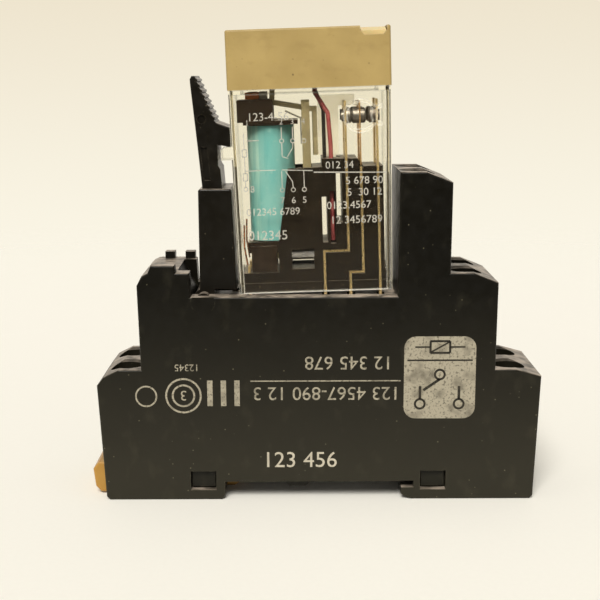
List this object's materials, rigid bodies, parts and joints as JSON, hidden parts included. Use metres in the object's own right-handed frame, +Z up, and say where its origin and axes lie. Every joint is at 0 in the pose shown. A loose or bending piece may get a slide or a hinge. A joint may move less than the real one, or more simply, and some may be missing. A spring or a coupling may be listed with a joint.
{
  "type": "plug-in control relay with rail socket",
  "caption": "Plug-in control relay with clear cover and beige cap, in a stepped screw-terminal rail socket with a lifting lever and a sliding rail clip.",
  "frame": {"origin": "centre of the object's footprint, on the plane of the socket's feet", "axes": "+X along the socket towards its three contact tiers, +Y across its thickness away from the viewer of the printed side, +Z up from the rail"},
  "size_m": [0.084, 0.0198, 0.0871],
  "materials": {
    "socket_plastic": "charcoal black moulding, fine matte grain",
    "socket_base_plastic": "black moulding, slightly smoother than the housing",
    "clip_plastic": "orange-yellow moulding",
    "lever_plastic": "black moulding, satin",
    "screw_steel": "zinc plated",
    "washer_steel": "zinc plated, pressed",
    "socket_brass": "tinned brass strip",
    "case_clear": "clear moulded cover, yellowed along its edges",
    "cap_plastic": "beige moulding with fine specks",
    "button_plastic": "cream-yellow moulding",
    "lens_amber": "translucent lens",
    "led_epoxy": "red tinted epoxy",
    "board_laminate": "green laminate",
    "resistor_body": "tan lacquer",
    "base_plastic": "black moulding",
    "bobbin_plastic": "dark brown-black moulding",
    "winding_copper": "enamelled copper wire",
    "coil_tape": "turquoise film tape",
    "core_iron": "plated soft iron",
    "shading_copper": "bare copper",
    "yoke_steel": "passivated steel",
    "armature_steel": "passivated steel",
    "spring_steel": "spring leaf",
    "card_plastic": "natural translucent moulding",
    "contact_silver": "silver alloy",
    "wire_red": "insulated wire",
    "wire_black": "insulated wire",
    "spring_bronze": "phosphor bronze",
    "relay_brass": "plated brass strip"
  },
  "bodies": {
    "socket": {"clamp_washers": "washer_steel", "socket_base": "socket_base_plastic", "socket_contact_coil_1": "socket_brass", "socket_contact_coil_2": "socket_brass", "socket_contact_common_1": "socket_brass", "socket_contact_common_2": "socket_brass", "socket_contact_nc_1": "socket_brass", "socket_contact_nc_2": "socket_brass", "socket_contact_no_1": "socket_brass", "socket_contact_no_2": "socket_brass", "socket_housing": "socket_plastic", "terminal_screws": "screw_steel"},
    "relay": {"armature_spring": "spring_steel", "coil_bobbin": "bobbin_plastic", "coil_core": "core_iron", "coil_lead_wires": "winding_copper", "coil_tape": "coil_tape", "coil_terminal_1": "relay_brass", "coil_terminal_2": "relay_brass", "coil_winding": "winding_copper", "common_terminal_1": "relay_brass", "common_terminal_2": "relay_brass", "fixed_contact_rivets": "contact_silver", "indicator_lens": "lens_amber", "lead_wire_black": "wire_black", "lead_wire_red": "wire_red", "led": "led_epoxy", "led_board": "board_laminate", "led_resistor": "resistor_body", "nc_terminal_1": "relay_brass", "nc_terminal_2": "relay_brass", "no_terminal_1": "relay_brass", "no_terminal_2": "relay_brass", "relay_base": "base_plastic", "relay_cap": "cap_plastic", "relay_case": "case_clear", "shading_ring": "shading_copper", "yoke": "yoke_steel"},
    "armature": {"armature": "armature_steel"},
    "contact_card": {"pusher_card": "card_plastic"},
    "moving_contacts": {"moving_contact_1": "spring_bronze", "moving_contact_2": "spring_bronze", "moving_contact_rivets": "contact_silver"},
    "test_button": {"test_button": "button_plastic"},
    "retention_lever": {"retention_lever": "lever_plastic"},
    "din_clip": {"din_clip": "clip_plastic"}
  },
  "joints": [
    {"name": "relay_lift", "type": "slide", "parent": "socket", "child": "relay", "axis": [-0.0314, 0, 0.9995], "range_m": [0, 0.0032]},
    {"name": "lever_swing", "type": "hinge", "parent": "socket", "child": "retention_lever", "pos_m": [-0.0202, 0, 0.0379], "axis": [0, -1, 0], "range_deg": [0, 25]},
    {"name": "clip_pull", "type": "slide", "parent": "socket", "child": "din_clip", "axis": [-1, 0, 0], "range_m": [0, 0.0026], "stiffness_N_per_m": 2000, "springref_m": -0.001},
    {"name": "armature_pull", "type": "hinge", "parent": "relay", "child": "armature", "pos_m": [-0.00159, 0, 0.0727], "axis": [0, -1, 0], "range_deg": [0, 3.05], "stiffness_Nm_per_rad": 0.02, "springref_deg": -2.86},
    {"name": "card_push", "type": "slide", "parent": "relay", "child": "contact_card", "axis": [0.9995, 0, 0.0314], "range_m": [0, 0.00046]},
    {"name": "contact_flex", "type": "hinge", "parent": "relay", "child": "moving_contacts", "pos_m": [0.00868, 0, 0.06232], "axis": [0, 1, 0], "range_deg": [0, 2.45]},
    {"name": "button_press", "type": "slide", "parent": "relay", "child": "test_button", "axis": [0.0314, 0, -0.9995], "range_m": [0, 0.0012], "stiffness_N_per_m": 400, "springref_m": -0.0004}
  ],
  "couplings": [
    {"joint": "lever_swing", "follows": "relay_lift", "rad_per_m": 136.35},
    {"joint": "armature_pull", "follows": "card_push", "rad_per_m": 113.83},
    {"joint": "contact_flex", "follows": "card_push", "rad_per_m": 91.061}
  ]
}
